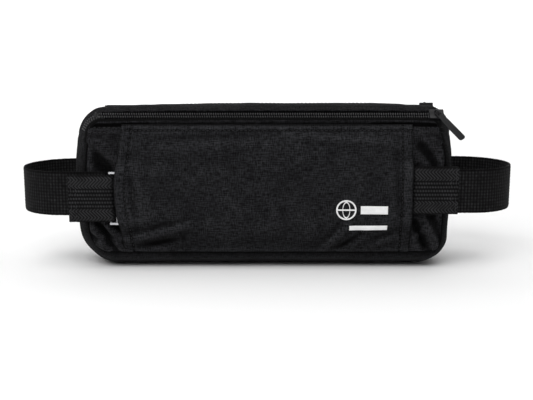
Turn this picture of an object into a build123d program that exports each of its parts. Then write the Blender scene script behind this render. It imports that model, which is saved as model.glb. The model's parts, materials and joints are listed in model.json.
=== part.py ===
"""Flat waist bag with two zipped pockets, a front sleeve and a buckled elastic belt.

Millimetres. +X to the bag's right as seen from the front, +Y towards its back, +Z up.
The origin is the middle of the flat base.
"""

import os
from math import sqrt

from build123d import *

# Bag body
LENGTH = 240.0
DEPTH = 48.0
HEIGHT = 106.0
TOP_CORNER_OVER_BEVEL = 2.0
BASE_CORNER_R = 26.0
LEAST_CORNER_R = 1.0
EDGE_BEVEL = 10.0
FABRIC_T = 1.2
DIVIDER_T = 1.0
DIVIDER_Y = 4.0
DIVIDER_TOP_GAP = 0.6
SIDE_SEAM_DROP = 19.0
SEAM_TAPE_W = 6.0
SEAM_TAPE_T = 0.8
SEAM_TAPE_GAP = 0.1
SEAM_TAPE_IN = 3.0

# Lids over the two pockets
LID_END_INSET = 10.0
LID_GAP = 0.4

# Zips: places across the bevel are counted from the middle of the chain
FRONT_ZIP_FROM_SEAM = 4.0
REAR_ZIP_FROM_SEAM = 6.6
ZIP_END_INSET = 17.0
TAPE_UNDER_COIL = 0.8
TAPE_OUTER_LOW = 4.8
FRONT_TAPE_HIGH = 7.0
REAR_TAPE_HIGH = 4.2
TAPE_T = 0.6
TAPE_GAP = 0.1
COIL_HALF = 2.1
COIL_SPLIT = 0.05
COIL_TOP = 0.4
COIL_SLIDER_GAP = 0.5
STOP_LENGTH = 1.6
STOP_GAP = 0.4

# Slider and pull
SLIDER_LENGTH = 9.0
SLIDER_BRIM = 0.6
SLIDER_SIDE_GAP = 0.2
SLIDER_PLATE_T = 1.0
SLIDER_CLEAR = 0.3
SLIDER_INSET = 11.0
POST_LENGTH = 3.0
POST_HALF = 1.1
LIP_T = 0.6
LIP_CLEAR = 0.2
ARCH_R = 1.6
ARCH_WIRE_R = 0.45
ARCH_RISE = 1.2
PULL_LENGTH = 24.0
PULL_W = 4.6
PULL_NECK_W = 3.6
PULL_T = 0.8
PULL_HOLE_L = 2.2
PULL_HOLE_W = 2.2
PULL_PIN_R = 0.45
PULL_LIE = Vector(0.60, -0.48, -0.64)

# Webbing, belt and slide
WEB_W = 30.0
ANCHOR_T = 1.6
TAB_T = 1.2
TAB_LENGTH = 26.0
ELASTIC_EDGE = 1.0
ELASTIC_T = 1.4
BAR_R = 0.7
BAR_PITCH = 3.8
BAR_CLEAR = 0.3
LEFT_BAR_INSET = 24.8
SLIDE_MARGIN = 0.6
SLIDE_RAIL_H = 1.4
SLIDE_RAIL_T = 1.4
ANCHOR_LENGTH = 16.0
RIGHT_SEAM_INSET = 23.0
RIGHT_ANCHOR_GAP = 0.4
LEFT_BELT_Z = 46.6
RIGHT_BELT_Z = 51.6
LEFT_ELASTIC_RISE = 3.0
RIGHT_ELASTIC_RISE = -0.5
BACK_GAP = 8.4
LEFT_LOOP_REACH = 6.0
RIGHT_LOOP_REACH = 12.5

# Sleeve panel on the front
PATCH_T = 1.0
PATCH_CLEAR = 0.2
PATCH_LEFT_INSET = 30.0
PATCH_RIGHT_INSET = 25.6
PATCH_TOP_DROP = 13.0
PATCH_BASE_RISE = 8.0
PATCH_SLOPE = 10.0

# Printed mark
MARK_T = 0.15
MARK_RING_R = 6.4
MARK_LINE = 1.0
MARK_RING_LEFT = 26.0
MARK_RING_Z = 39.5
MARK_BAR_L = 17.0
MARK_BAR_H = 5.0
MARK_BAR_Z = 39.5
MARK_LINE_L = 24.0
MARK_LINE_H = 3.0
MARK_LINE_Z = 28.0
MARK_INSET = 15.4

# Side-release buckle
STRAP_CLEAR = 3.5
BUCKLE_T = 9.0
BUCKLE_WALL = 1.5
BUCKLE_APART = 4.0
SOCKET_LENGTH = 26.0
SOCKET_DEPTH = 23.0
BUTTON_WINDOW_L = 10.0
BUTTON_WINDOW_IN = 6.0
PLUG_BASE_L = 6.0
PRONG_LENGTH = 21.0
PRONG_W = 2.4
PRONG_T = 5.0
PRONG_WALL_GAP = 6.8
PRONG_ROOT_GAP = 0.4
BARB_LENGTH = 8.0
BARB_OUT = 4.0
TONGUE_LENGTH = 15.0
TONGUE_W = 4.0
KEEPER_BAR_CLEAR = 3.6
FOLD_LENGTH = 16.0

# Worked-out places
INNER_FRONT = DEPTH / 2 - FABRIC_T
SIDE_SEAM_Z = HEIGHT - SIDE_SEAM_DROP
TOP_CORNER_R = EDGE_BEVEL + TOP_CORNER_OVER_BEVEL
SLIDE_X = -(LENGTH / 2 - LEFT_BAR_INSET)
RIGHT_SEAM_X = LENGTH / 2 - RIGHT_SEAM_INSET
LEFT_LOOP_X = -(LENGTH / 2 + LEFT_LOOP_REACH)
RIGHT_LOOP_X = LENGTH / 2 + RIGHT_LOOP_REACH
PATCH_LEFT = -(LENGTH / 2 - PATCH_LEFT_INSET)
PATCH_RIGHT = LENGTH / 2 - PATCH_RIGHT_INSET
MARK_RIGHT = PATCH_RIGHT - MARK_INSET
MARK_RING_X = MARK_RIGHT - MARK_RING_LEFT
ELASTIC_W = WEB_W - 2 * ELASTIC_EDGE
BUCKLE_H = ELASTIC_W + 2 * (STRAP_CLEAR + BUCKLE_WALL)
PRONG_SPREAD = BUCKLE_H / 2 - BUCKLE_WALL - PRONG_WALL_GAP - PRONG_W / 2
BAND_OUT = TAB_T + BAR_R + BAR_CLEAR
WEB_Y = -(DEPTH / 2 + ANCHOR_T + BAR_R + BAR_CLEAR)
PATCH_GAP = 2 * (ANCHOR_T + BAR_R + BAR_CLEAR) + PATCH_CLEAR
BACK_RUN_Y = DEPTH / 2 + BACK_GAP
LOOP_R = (BACK_RUN_Y - WEB_Y) / 2
LEFT_ELASTIC_Z = LEFT_BELT_Z + LEFT_ELASTIC_RISE
RIGHT_ELASTIC_Z = RIGHT_BELT_Z + RIGHT_ELASTIC_RISE
BUCKLE_Z = (LEFT_ELASTIC_Z + RIGHT_ELASTIC_Z) / 2
HALF_SPAN = LENGTH / 2 - LID_END_INSET
TAPE_INNER = COIL_HALF - TAPE_UNDER_COIL
SLIDER_HALF = COIL_HALF + LIP_CLEAR + LIP_T + SLIDER_BRIM
ZIP_WINDOW_HALF = SLIDER_HALF + SLIDER_SIDE_GAP
SLIDER_X = LENGTH / 2 - SLIDER_INSET
CHAIN_RIGHT = SLIDER_X - SLIDER_LENGTH / 2 - COIL_SLIDER_GAP
CHAIN_LEFT = -(LENGTH / 2 - ZIP_END_INSET)
TAPE_TOP = -(FABRIC_T + TAPE_GAP)
TAPE_BASE = TAPE_TOP - TAPE_T
PLATE_LOW = COIL_TOP + SLIDER_CLEAR
PLATE_TOP = PLATE_LOW + SLIDER_PLATE_T
SLOPE = 1 / sqrt(2)


def zip_plane(from_seam):
    """A zip's own frame on the front bevel: along the zip, up the bevel, and out of the fabric."""
    origin = (0, -DEPTH / 2 + from_seam, HEIGHT - EDGE_BEVEL + from_seam)
    return Plane(origin=origin, x_dir=(1, 0, 0), z_dir=(0, -SLOPE, SLOPE))


FRONT_ZIP = zip_plane(FRONT_ZIP_FROM_SEAM)
REAR_ZIP = zip_plane(REAR_ZIP_FROM_SEAM)


def save(part, node):
    """Write one piece under its own name."""
    export_step(part, "parts/" + node + ".step")


def span(x0, x1, y0, y1, z0, z1):
    """A box between two corners."""
    middle = ((x0 + x1) / 2, (y0 + y1) / 2, (z0 + z1) / 2)
    return Pos(*middle) * Box(x1 - x0, y1 - y0, z1 - z0)


def to_back(part):
    """The same piece on the bag's other face."""
    return mirror(part, about=Plane.XZ)


def outline(inset):
    """The bag seen from the front, drawn in by an even margin."""
    sketch = Pos(0, HEIGHT / 2) * Rectangle(LENGTH - 2 * inset, HEIGHT - 2 * inset)
    upper = [v for v in sketch.vertices() if v.Y > HEIGHT / 2]
    sketch = fillet(upper, max(TOP_CORNER_R - inset, LEAST_CORNER_R))
    lower = [v for v in sketch.vertices() if v.Y < BASE_CORNER_R and abs(v.X) > LENGTH / 4]
    return fillet(lower, max(BASE_CORNER_R - inset, LEAST_CORNER_R))


def bag_form(inset):
    """The closed bag with bevelled edges, drawn in by an even margin."""
    half = DEPTH / 2 - inset
    solid = extrude(Plane.XZ * outline(inset), amount=half, both=True)
    rims = [e for e in solid.edges() if abs(abs(e.center().Y) - half) < FABRIC_T / 10]
    return chamfer(rims, EDGE_BEVEL - inset * (2 - sqrt(2)))


def flat_panel(inset, y0, y1):
    """A flat panel with the bag's outline between two depths."""
    blank = extrude(Plane.XZ * outline(inset), amount=DEPTH, both=True)
    return blank & span(-LENGTH, LENGTH, y0, y1, -HEIGHT, 2 * HEIGHT)


def seam_tape():
    """Binding tape around the inside of the front seam."""
    y0 = -INNER_FRONT + SEAM_TAPE_GAP
    y1 = y0 + SEAM_TAPE_T
    edge = EDGE_BEVEL + SEAM_TAPE_IN
    return flat_panel(edge, y0, y1) - flat_panel(edge + SEAM_TAPE_W, y0, y1)


def zip_block(plane, x0, x1, up0, up1, out0, out1):
    """A box laid on a zip's frame."""
    return plane * span(x0, x1, up0, up1, out0, out1)


def lid_zone(y0, y1):
    """The space that a lid takes from the top of the bag."""
    return span(-HALF_SPAN, HALF_SPAN, y0, y1, SIDE_SEAM_Z, 2 * HEIGHT)


def beyond_window(plane):
    """Everything above and behind a zip's window."""
    return zip_block(plane, -LENGTH, LENGTH, ZIP_WINDOW_HALF, LENGTH, -LENGTH, LENGTH)


def between_windows():
    """Everything above both zips' windows."""
    return beyond_window(FRONT_ZIP) & to_back(beyond_window(REAR_ZIP))


def zip_tape(plane, up0, up1):
    """One half of the zip's woven tape."""
    return zip_block(plane, CHAIN_LEFT, CHAIN_RIGHT, up0, up1, TAPE_BASE, TAPE_TOP)


def zip_coil(plane, side):
    """One half of the zip's chain: side is -1 below and 1 above."""
    edges = sorted((side * COIL_SPLIT, side * COIL_HALF))
    x0 = CHAIN_LEFT + STOP_GAP
    return zip_block(plane, x0, CHAIN_RIGHT, edges[0], edges[1], TAPE_TOP, COIL_TOP)


def zip_stop(plane):
    """The clip that closes the chain's far end."""
    x0 = CHAIN_LEFT - STOP_LENGTH
    top = COIL_TOP + SLIDER_CLEAR
    return zip_block(plane, x0, CHAIN_LEFT, -COIL_HALF, COIL_HALF, TAPE_TOP, top)


def pull_plane(plane):
    """The pull's own frame: along the pull, across it, and out of its face."""
    centre = plane.from_local_coords(Vector(SLIDER_X, 0, PLATE_TOP + ARCH_RISE))
    along = PULL_LIE.normalized()
    across = plane.z_dir.cross(along).normalized()
    return Plane(origin=centre, x_dir=along, z_dir=along.cross(across))


def slider(plane):
    """Slider body: two plates, a post between the chains, side lips and the pull's arch."""
    x0 = SLIDER_X - SLIDER_LENGTH / 2
    x1 = SLIDER_X + SLIDER_LENGTH / 2
    low = TAPE_BASE - SLIDER_CLEAR
    body = zip_block(plane, x0, x1, -SLIDER_HALF, SLIDER_HALF, PLATE_LOW, PLATE_TOP)
    body += zip_block(plane, x0, x1, -SLIDER_HALF, SLIDER_HALF, low - SLIDER_PLATE_T, low)
    body += zip_block(plane, x1 - POST_LENGTH, x1, -POST_HALF, POST_HALF, low, PLATE_LOW)
    for side in (-1, 1):
        lip = sorted((side * (COIL_HALF + LIP_CLEAR), side * (COIL_HALF + LIP_CLEAR + LIP_T)))
        body += zip_block(plane, x0, x1, lip[0], lip[1], TAPE_TOP + SLIDER_CLEAR, PLATE_LOW)
    return body + arch(plane)


def arch(plane):
    """Wire arch on the slider that the pull's eye runs on."""
    along = PULL_LIE - plane.z_dir * PULL_LIE.dot(plane.z_dir)
    frame = Plane(origin=pull_plane(plane).origin, x_dir=along.normalized(), z_dir=plane.z_dir)
    wire = Pos(ARCH_R, 0, 0) * Circle(ARCH_WIRE_R)
    bow = revolve(wire, axis=Axis.Y, revolution_arc=-180)
    for side in (-1, 1):
        bow += Pos(side * ARCH_R, 0, -ARCH_RISE / 2) * Cylinder(ARCH_WIRE_R, ARCH_RISE)
    return frame * bow


def pull_tab(plane):
    """Flat pull with an eye: its end bar lies in the arch, which passes through the eye."""
    hole_x0 = PULL_PIN_R
    hole_x1 = hole_x0 + PULL_HOLE_L
    neck = span(-PULL_PIN_R, PULL_LENGTH / 3, -PULL_NECK_W / 2, PULL_NECK_W / 2, -PULL_T / 2, PULL_T / 2)
    grip = span(PULL_LENGTH / 4, PULL_LENGTH, -PULL_W / 2, PULL_W / 2, -PULL_T / 2, PULL_T / 2)
    grip = fillet(grip.edges().filter_by(Axis.Z), PULL_W / 3)
    eye = span(hole_x0, hole_x1, -PULL_HOLE_W / 2, PULL_HOLE_W / 2, -PULL_T, PULL_T)
    return pull_plane(plane) * (neck + grip - eye)


def web_fold(bar_x, bar_y, mid_z, width, thick, length, way):
    """A flat band folded round an upright bar, with both ends running way (-1 or 1) along X."""
    inner = BAR_R + BAR_CLEAR
    outer = inner + thick
    ring = Circle(outer) + Pos(way * length / 2, 0) * Rectangle(length, 2 * outer)
    hole = Circle(inner) + Pos(way * length / 2, 0) * Rectangle(length, 2 * inner)
    band = extrude(ring - hole, amount=width / 2, both=True)
    return Pos(bar_x, bar_y, mid_z) * band


def belt_band(start_x, loop_x, end_x, mid_z):
    """Elastic from a front tab, round one side of the bag and along its back."""
    way = 1 if loop_x > start_x else -1
    front = Line((start_x, WEB_Y), (loop_x, WEB_Y))
    side = (loop_x + way * LOOP_R, WEB_Y + LOOP_R)
    turn = ThreePointArc((loop_x, WEB_Y), side, (loop_x, BACK_RUN_Y))
    back = Line((loop_x, BACK_RUN_Y), (end_x, BACK_RUN_Y))
    section = Plane(origin=(start_x, WEB_Y), x_dir=(0, 1, 0), z_dir=(way, 0, 0))
    profile = section * Rectangle(ELASTIC_T, ELASTIC_W)
    band = sweep(profile, path=Wire([front, turn, back]))
    return Pos(0, 0, mid_z) * band


def metal_slide():
    """Three-bar slide: round upright bars between two rails."""
    half = WEB_W / 2 + SLIDE_MARGIN
    bars = [SLIDE_X + BAR_PITCH * n for n in range(3)]
    part = Part()
    for x in bars:
        part += Pos(x, WEB_Y, LEFT_BELT_Z) * Cylinder(BAR_R, 2 * half + SLIDE_RAIL_H)
    for side in (-1, 1):
        rail_z = LEFT_BELT_Z + side * (half + SLIDE_RAIL_H / 2)
        rail = Box(2 * BAR_PITCH + 2 * BAR_R, SLIDE_RAIL_T, SLIDE_RAIL_H)
        part += Pos(SLIDE_X + BAR_PITCH, WEB_Y, rail_z) * rail
    return part


def patch():
    """Sleeve panel sewn along its top and bottom edges and open at both sides."""
    front = -DEPTH / 2
    top = HEIGHT - PATCH_TOP_DROP
    skins = []
    for stand_off, margin in ((PATCH_GAP + PATCH_T, 0), (PATCH_GAP, 2 * PATCH_T)):
        points = [
            (front, top - margin),
            (front - stand_off, top - PATCH_SLOPE - margin / 2),
            (front - stand_off, PATCH_BASE_RISE + PATCH_SLOPE + margin / 2),
            (front, PATCH_BASE_RISE + margin),
        ]
        face = make_face(Plane.YZ * Polyline(*points, close=True))
        skins.append(extrude(face, amount=PATCH_RIGHT - PATCH_LEFT))
    return Pos(PATCH_LEFT, 0, 0) * (skins[0] - skins[1])


def printed_mark():
    """Plain travel mark: a ring with two crossing lines, a bar and a thin line."""
    y = -(DEPTH / 2 + PATCH_GAP + PATCH_T)
    ring = Circle(MARK_RING_R) - Circle(MARK_RING_R - MARK_LINE)
    ring += Rectangle(2 * MARK_RING_R - MARK_LINE, MARK_LINE)
    ring += Rectangle(MARK_LINE, 2 * MARK_RING_R - MARK_LINE)
    art = Pos(MARK_RING_X, MARK_RING_Z) * ring
    art += Pos(MARK_RIGHT - MARK_BAR_L / 2, MARK_BAR_Z) * Rectangle(MARK_BAR_L, MARK_BAR_H)
    art += Pos(MARK_RIGHT - MARK_LINE_L / 2, MARK_LINE_Z) * Rectangle(MARK_LINE_L, MARK_LINE_H)
    return Pos(0, y, 0) * extrude(Plane.XZ * art, amount=MARK_T)


def keeper_frame(inner_x, way):
    """Bar and side rails that hold a strap end, growing way along X from a buckle half."""
    bar_x = inner_x + way * KEEPER_BAR_CLEAR
    part = Pos(bar_x, BACK_RUN_Y, BUCKLE_Z) * Cylinder(BAR_R, BUCKLE_H)
    for side in (-1, 1):
        rail_z = BUCKLE_Z + side * (BUCKLE_H / 2 - BUCKLE_WALL / 2)
        rail = Box(KEEPER_BAR_CLEAR + BAR_R, 2 * BAR_R, BUCKLE_WALL)
        part += Pos(inner_x + way * (KEEPER_BAR_CLEAR + BAR_R) / 2, BACK_RUN_Y, rail_z) * rail
    return part


def buckle_socket():
    """Half of the buckle that the prongs push into, with a button window above and below."""
    mouth = -BUCKLE_APART / 2
    back = mouth - SOCKET_LENGTH
    y0 = BACK_RUN_Y - BUCKLE_T / 2
    y1 = BACK_RUN_Y + BUCKLE_T / 2
    z0 = BUCKLE_Z - BUCKLE_H / 2
    z1 = BUCKLE_Z + BUCKLE_H / 2
    wall = BUCKLE_WALL
    case = span(back, mouth, y0, y1, z0, z1)
    case = fillet(case.edges().filter_by(Axis.X), BUCKLE_WALL)
    case -= span(mouth - SOCKET_DEPTH, mouth, y0 + wall, y1 - wall, z0 + wall, z1 - wall)
    window_x1 = mouth - BUTTON_WINDOW_IN
    window_x0 = window_x1 - BUTTON_WINDOW_L
    case -= span(window_x0, window_x1, y0 + wall, y1 - wall, z0 - wall, z1 + wall)
    return case + keeper_frame(back, -1)


def buckle_plug():
    """Half of the buckle that carries the prongs: its base, guide tongue and strap bar."""
    base_x = BUCKLE_APART / 2 + PRONG_LENGTH
    half_t = BUCKLE_T / 2
    half_h = BUCKLE_H / 2
    y = BACK_RUN_Y
    z = BUCKLE_Z
    base = span(base_x, base_x + PLUG_BASE_L, y - half_t, y + half_t, z - half_h, z + half_h)
    base = fillet(base.edges().filter_by(Axis.X), BUCKLE_WALL)
    reach = PRONG_T / 2
    base += span(base_x - TONGUE_LENGTH, base_x, y - reach, y + reach, z - TONGUE_W / 2, z + TONGUE_W / 2)
    return base + keeper_frame(base_x + PLUG_BASE_L, 1)


def prong(side):
    """One sprung prong with its barb: side is -1 below and 1 above."""
    root = BUCKLE_APART / 2 + PRONG_LENGTH - PRONG_ROOT_GAP
    tip = BUCKLE_APART / 2
    middle = side * PRONG_SPREAD
    points = [
        (root, middle - side * PRONG_W / 2),
        (root, middle + side * PRONG_W / 2),
        (tip + BARB_LENGTH, middle + side * PRONG_W / 2),
        (tip + BARB_LENGTH, middle + side * (PRONG_W / 2 + BARB_OUT)),
        (tip, middle + side * PRONG_W / 2),
        (tip, middle - side * PRONG_W / 2),
    ]
    face = make_face(Plane.XZ * Polyline(*points, close=True))
    return Pos(0, BACK_RUN_Y, BUCKLE_Z) * extrude(face, amount=PRONG_T / 2, both=True)


def zip_window(plane):
    """The gap in the fabric that a zip fills."""
    x0 = CHAIN_LEFT - STOP_LENGTH - STOP_GAP
    x1 = SLIDER_X + SLIDER_LENGTH / 2 + STOP_GAP
    return zip_block(plane, x0, x1, -ZIP_WINDOW_HALF, ZIP_WINDOW_HALF, -EDGE_BEVEL, EDGE_BEVEL)


def save_bag():
    """Panels of the bag, its divider and its seam tapes."""
    shell = bag_form(0) - bag_form(FABRIC_T)
    band = shell & span(-LENGTH, LENGTH, -INNER_FRONT, INNER_FRONT, -HEIGHT, 2 * HEIGHT)
    low_band = band & span(-LENGTH, LENGTH, -DEPTH, DEPTH, -HEIGHT, SIDE_SEAM_Z)
    high_band = band & span(-LENGTH, LENGTH, -DEPTH, DEPTH, SIDE_SEAM_Z, 2 * HEIGHT)
    lids = high_band & lid_zone(-DEPTH, DEPTH) & between_windows()
    lid_hole = span(-HALF_SPAN - LID_GAP, HALF_SPAN + LID_GAP, -DEPTH, DEPTH, SIDE_SEAM_Z, 2 * HEIGHT)
    top_frame = high_band - (lid_hole & between_windows())
    top_frame -= zip_window(FRONT_ZIP)
    top_frame -= to_back(zip_window(REAR_ZIP))
    save(shell & span(-LENGTH, LENGTH, -DEPTH, -INNER_FRONT, -HEIGHT, 2 * HEIGHT), "front_panel")
    save(shell & span(-LENGTH, LENGTH, INNER_FRONT, DEPTH, -HEIGHT, 2 * HEIGHT), "back_panel")
    save(low_band, "side_gusset")
    save(top_frame, "zip_gusset")
    save(lids & lid_zone(-DEPTH, DIVIDER_Y - LID_GAP), "front_lid")
    save(lids & lid_zone(DIVIDER_Y + LID_GAP, DEPTH), "rear_lid")
    divider = flat_panel(FABRIC_T, DIVIDER_Y - DIVIDER_T / 2, DIVIDER_Y + DIVIDER_T / 2)
    lid_floor = HEIGHT - FABRIC_T - DIVIDER_TOP_GAP
    save(divider & span(-LENGTH, LENGTH, -DEPTH, DEPTH, -HEIGHT, lid_floor), "divider")
    save(seam_tape(), "front_seam_tape")
    save(to_back(seam_tape()), "back_seam_tape")
    save(patch(), "front_sleeve")
    save(printed_mark(), "printed_mark")


def zip_pieces(plane, tape_high):
    """Every piece of one zip."""
    return {
        "zip_lower_tape": zip_tape(plane, -TAPE_OUTER_LOW, -TAPE_INNER),
        "zip_upper_tape": zip_tape(plane, TAPE_INNER, tape_high),
        "zip_lower_coil": zip_coil(plane, -1),
        "zip_upper_coil": zip_coil(plane, 1),
        "zip_stop": zip_stop(plane),
        "zip_slider": slider(plane),
        "zip_pull": pull_tab(plane),
    }


def save_zips():
    """Both zips: tapes, chains, stops, sliders and pulls."""
    for name, piece in zip_pieces(FRONT_ZIP, FRONT_TAPE_HIGH).items():
        save(piece, "front_" + name)
    for name, piece in zip_pieces(REAR_ZIP, REAR_TAPE_HIGH).items():
        save(to_back(piece), "rear_" + name)


def save_belt():
    """Webbing, slide, elastic and buckle."""
    inner_bar = SLIDE_X + 2 * BAR_PITCH
    bar_left = -BUCKLE_APART / 2 - SOCKET_LENGTH - KEEPER_BAR_CLEAR
    bar_right = BUCKLE_APART / 2 + PRONG_LENGTH + PLUG_BASE_L + KEEPER_BAR_CLEAR
    clear = BAND_OUT + BAR_R
    save(metal_slide(), "metal_slide")
    save(web_fold(inner_bar, WEB_Y, LEFT_BELT_Z, WEB_W, ANCHOR_T, ANCHOR_LENGTH, 1), "left_anchor_web")
    anchor_x1 = RIGHT_SEAM_X - BAND_OUT - RIGHT_ANCHOR_GAP
    anchor = span(anchor_x1 - ANCHOR_LENGTH, anchor_x1, -DEPTH / 2 - ANCHOR_T, -DEPTH / 2, 0, WEB_W)
    save(Pos(0, 0, RIGHT_BELT_Z - WEB_W / 2) * anchor, "right_anchor_web")
    save(web_fold(SLIDE_X, WEB_Y, LEFT_BELT_Z, WEB_W, TAB_T, TAB_LENGTH, -1), "left_tab")
    save(web_fold(RIGHT_SEAM_X, WEB_Y, RIGHT_BELT_Z, WEB_W, TAB_T, TAB_LENGTH, 1), "right_tab")
    save(belt_band(SLIDE_X - clear, LEFT_LOOP_X, bar_left - clear, LEFT_ELASTIC_Z), "left_elastic")
    save(belt_band(RIGHT_SEAM_X + clear, RIGHT_LOOP_X, bar_right + clear, RIGHT_ELASTIC_Z), "right_elastic")
    for name, bar_x, way in (("left", bar_left, -1), ("right", bar_right, 1)):
        fold = web_fold(bar_x, BACK_RUN_Y, BUCKLE_Z, ELASTIC_W, TAB_T, FOLD_LENGTH, way)
        save(fold, name + "_buckle_fold")
    save(buckle_socket(), "buckle_socket")
    save(buckle_plug(), "buckle_plug")
    save(prong(-1), "lower_prong")
    save(prong(1), "upper_prong")


os.makedirs("parts", exist_ok=True)
save_bag()
save_zips()
save_belt()
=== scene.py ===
"""Slim waist bag: sewn fabric body, two zips, front sleeve, webbing tabs and a buckled elastic belt."""

import json
import math
from contextlib import contextmanager
from functools import partial

import bmesh
import bpy
import numpy as np
from mathutils import Matrix, Vector, noise

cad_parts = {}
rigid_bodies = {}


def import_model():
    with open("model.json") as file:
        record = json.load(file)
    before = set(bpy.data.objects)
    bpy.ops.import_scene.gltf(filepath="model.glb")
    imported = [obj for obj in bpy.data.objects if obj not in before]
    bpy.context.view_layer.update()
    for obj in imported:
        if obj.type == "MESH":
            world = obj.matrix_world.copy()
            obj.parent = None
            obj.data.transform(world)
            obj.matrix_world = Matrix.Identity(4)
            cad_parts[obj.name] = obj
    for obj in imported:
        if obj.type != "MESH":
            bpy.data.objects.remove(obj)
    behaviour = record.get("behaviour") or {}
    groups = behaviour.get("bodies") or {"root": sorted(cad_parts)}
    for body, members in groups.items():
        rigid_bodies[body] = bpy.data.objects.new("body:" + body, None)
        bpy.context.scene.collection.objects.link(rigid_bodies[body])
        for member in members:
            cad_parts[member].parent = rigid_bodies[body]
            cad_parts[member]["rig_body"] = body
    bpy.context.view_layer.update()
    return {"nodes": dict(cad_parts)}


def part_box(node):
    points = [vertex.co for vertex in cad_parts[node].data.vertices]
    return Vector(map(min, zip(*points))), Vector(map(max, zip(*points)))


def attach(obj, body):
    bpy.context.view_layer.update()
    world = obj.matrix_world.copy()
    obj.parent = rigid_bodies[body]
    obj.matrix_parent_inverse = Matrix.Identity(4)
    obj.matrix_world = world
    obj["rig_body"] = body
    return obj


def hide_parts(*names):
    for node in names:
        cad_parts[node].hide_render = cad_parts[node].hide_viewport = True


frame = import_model()

MM = 0.001


# ---- sizes from the frame

def low(node):
    """A CAD node's lowest corner, in millimetres."""
    return np.array(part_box(node)[0]) / MM


def high(node):
    """A CAD node's highest corner, in millimetres."""
    return np.array(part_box(node)[1]) / MM


FOOT_TURN = 2.2

HALF_LENGTH = high("side_gusset")[0]
HALF_DEPTH = high("back_panel")[1]
HEIGHT = high("zip_gusset")[2]
SIDE_SEAM_Z = high("side_gusset")[2]
LID_HALF = high("front_lid")[0]
LID_FRONT_Y = low("front_lid")[1]
LID_BACK_Y = high("rear_lid")[1]
LID_SEAM_Y = (high("front_lid")[1] + low("rear_lid")[1]) / 2
SLEEVE_LEFT = low("front_sleeve")[0]
SLEEVE_RIGHT = high("front_sleeve")[0]
SLEEVE_LOW = low("front_sleeve")[2]
SLEEVE_HIGH = high("front_sleeve")[2]
SLEEVE_Y = low("front_sleeve")[1]
SLEEVE_FOOT = SLEEVE_LOW + FOOT_TURN
WEB_MID_Z = (low("left_tab")[2] + high("right_tab")[2]) / 2
CHAIN_LEFT = low("front_zip_lower_coil")[0]
CHAIN_RIGHT = high("front_zip_lower_coil")[0]
WEB_Y = (low("left_tab")[1] + high("left_tab")[1]) / 2
BACK_RUN_Y = (low("left_buckle_fold")[1] + high("left_buckle_fold")[1]) / 2

# Shape of the filled bag
BEVEL = 10.0
BEVEL_POWER = 3.0
TOP_LEFT_R = 18.5
TOP_RIGHT_R = 14.5
BASE_LEFT_R = 25.5
BASE_RIGHT_R = 19.5
SIDE_BULGE = 1.7
SIDE_DRAW = 3.4
SIDE_DRAW_Z = 58.0
SIDE_DRAW_SPAN = 60.0
CROWN_LEFT_FALL = 3.4
CROWN_LEFT_START = 12
CROWN_RIGHT_FALL = 2.6
CROWN_RIGHT_START = 66
LEFT_LEAN = 2.8
LID_EDGE_RISE = 0.35
FRONT_ZIP_SINK = 1.6
FRONT_ZIP_SINK_Y = -19
RIGHT_EDGE_PUSH = 4.5
SEAM_PINCH = 0.9
SEAM_PINCH_W = 1.5
STRIP_SEAM_Z = 93.2
CLOTH_T = 0.9
DIVIDER_INSET = 3.8
BINDING_DEPTH = 2.6
BINDING_W = 3.0
BINDING_T = 0.6
FOLD_STRENGTH = 1.75
# spread and strength of the painted shade in folds
FOLD_SHADE_PASSES = 14
FOLD_SHADE_GAIN = 2.5
BAND_SEED = 11

HEM_W = 6.4
SLEEVE_TOP_ROWS = (1.4, 3.8)

# Zip
SLOPE = 1 / math.sqrt(2)
COIL_OFF = 0.318
TOOTH_PITCH = 1.45
TOOTH_SIZE = (0.84, 1.85, 1.3)
TOOTH_MIDDLE = 1.12
TOOTH_SINK = 0.15
END_TOOTH_SIZE = (0.98, 1.7, 1.2)
TAPE_INNER = 1.3
TAPE_LOWER_W = 6.0
TAPE_UPPER_W = 4.6
TAPE_T = 0.3
TAPE_SINK = 1.6
TAPE_RIPPLE = 0.06
TAPE_RIPPLE_PITCH = 0.9
ZIP_GAP_HALF = 3.7

# Webbing and thread
RIB_HEIGHT = 0.24
ELASTIC_PITCH = 2.0
WEB_ROW_PITCH = 2.4
WEB_DOT_PITCH = 1.7
WEB_TWILL_PITCH = 2.1
WEB_CHEVRON_W = 4.0
PLAIN_RIB_PITCH = 1.3
PLAIN_ROW_PITCH = 1.6
BAR_R = 0.7
ELASTIC_HALF = 0.7
ELASTIC_TUCK = 3
STITCH_PITCH = 2.6
STITCH_SIZE = (2.0, 0.42, 0.34)
PANEL_ROWS = (2.2, 5.4)
TAB_ROWS = (1.6, 4.6)

# Printed mark
MARK_RING_R = 6.4
MARK_PROUD = 0.12
MARK_T = 0.08

# Grids: steps across and up
PANEL_GRID = (190, 84)
SLEEVE_GRID = (300, 130)
DIVIDER_GRID = (80, 36)

# Stage, in metres. Each light: name, place, aim, size, power
LIGHTS = (
    ("overhead_softbox", (0.0, 0.3, 1.7), (0, 0.3, 0.0), (3.4, 2.8), 34.0),
    ("key_softbox", (-0.4, -1.0, 1.05), (0, 0, 0.06), (1.3, 0.8), 13.0),
    ("backdrop_softbox", (0.0, 1.3, 1.3), (0, 2.3, 0.3), (3.4, 0.8), 22.0),
)
WORLD_LIGHT = 0.15
FLOOR_COLOR = (0.94, 0.94, 0.94)
CAMERA_LENS = 58.3
CAMERA_ELEVATION = math.radians(11)
CAMERA_AIM = (0.0029, 0, 0.0403)
CAMERA_DISTANCE = 0.57


# ---- mesh helpers

def new_object(name, data):
    """An object of the scene."""
    obj = bpy.data.objects.new(name, data)
    bpy.context.scene.collection.objects.link(obj)
    return obj


def aimed(name, data, spot, towards):
    """An object of the stage at a spot, looking towards another, in metres."""
    obj = new_object(name, data)
    obj.location = spot
    obj.rotation_mode = "QUATERNION"
    obj.rotation_quaternion = (Vector(towards) - Vector(spot)).to_track_quat("-Z", "Y")
    return obj


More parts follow.
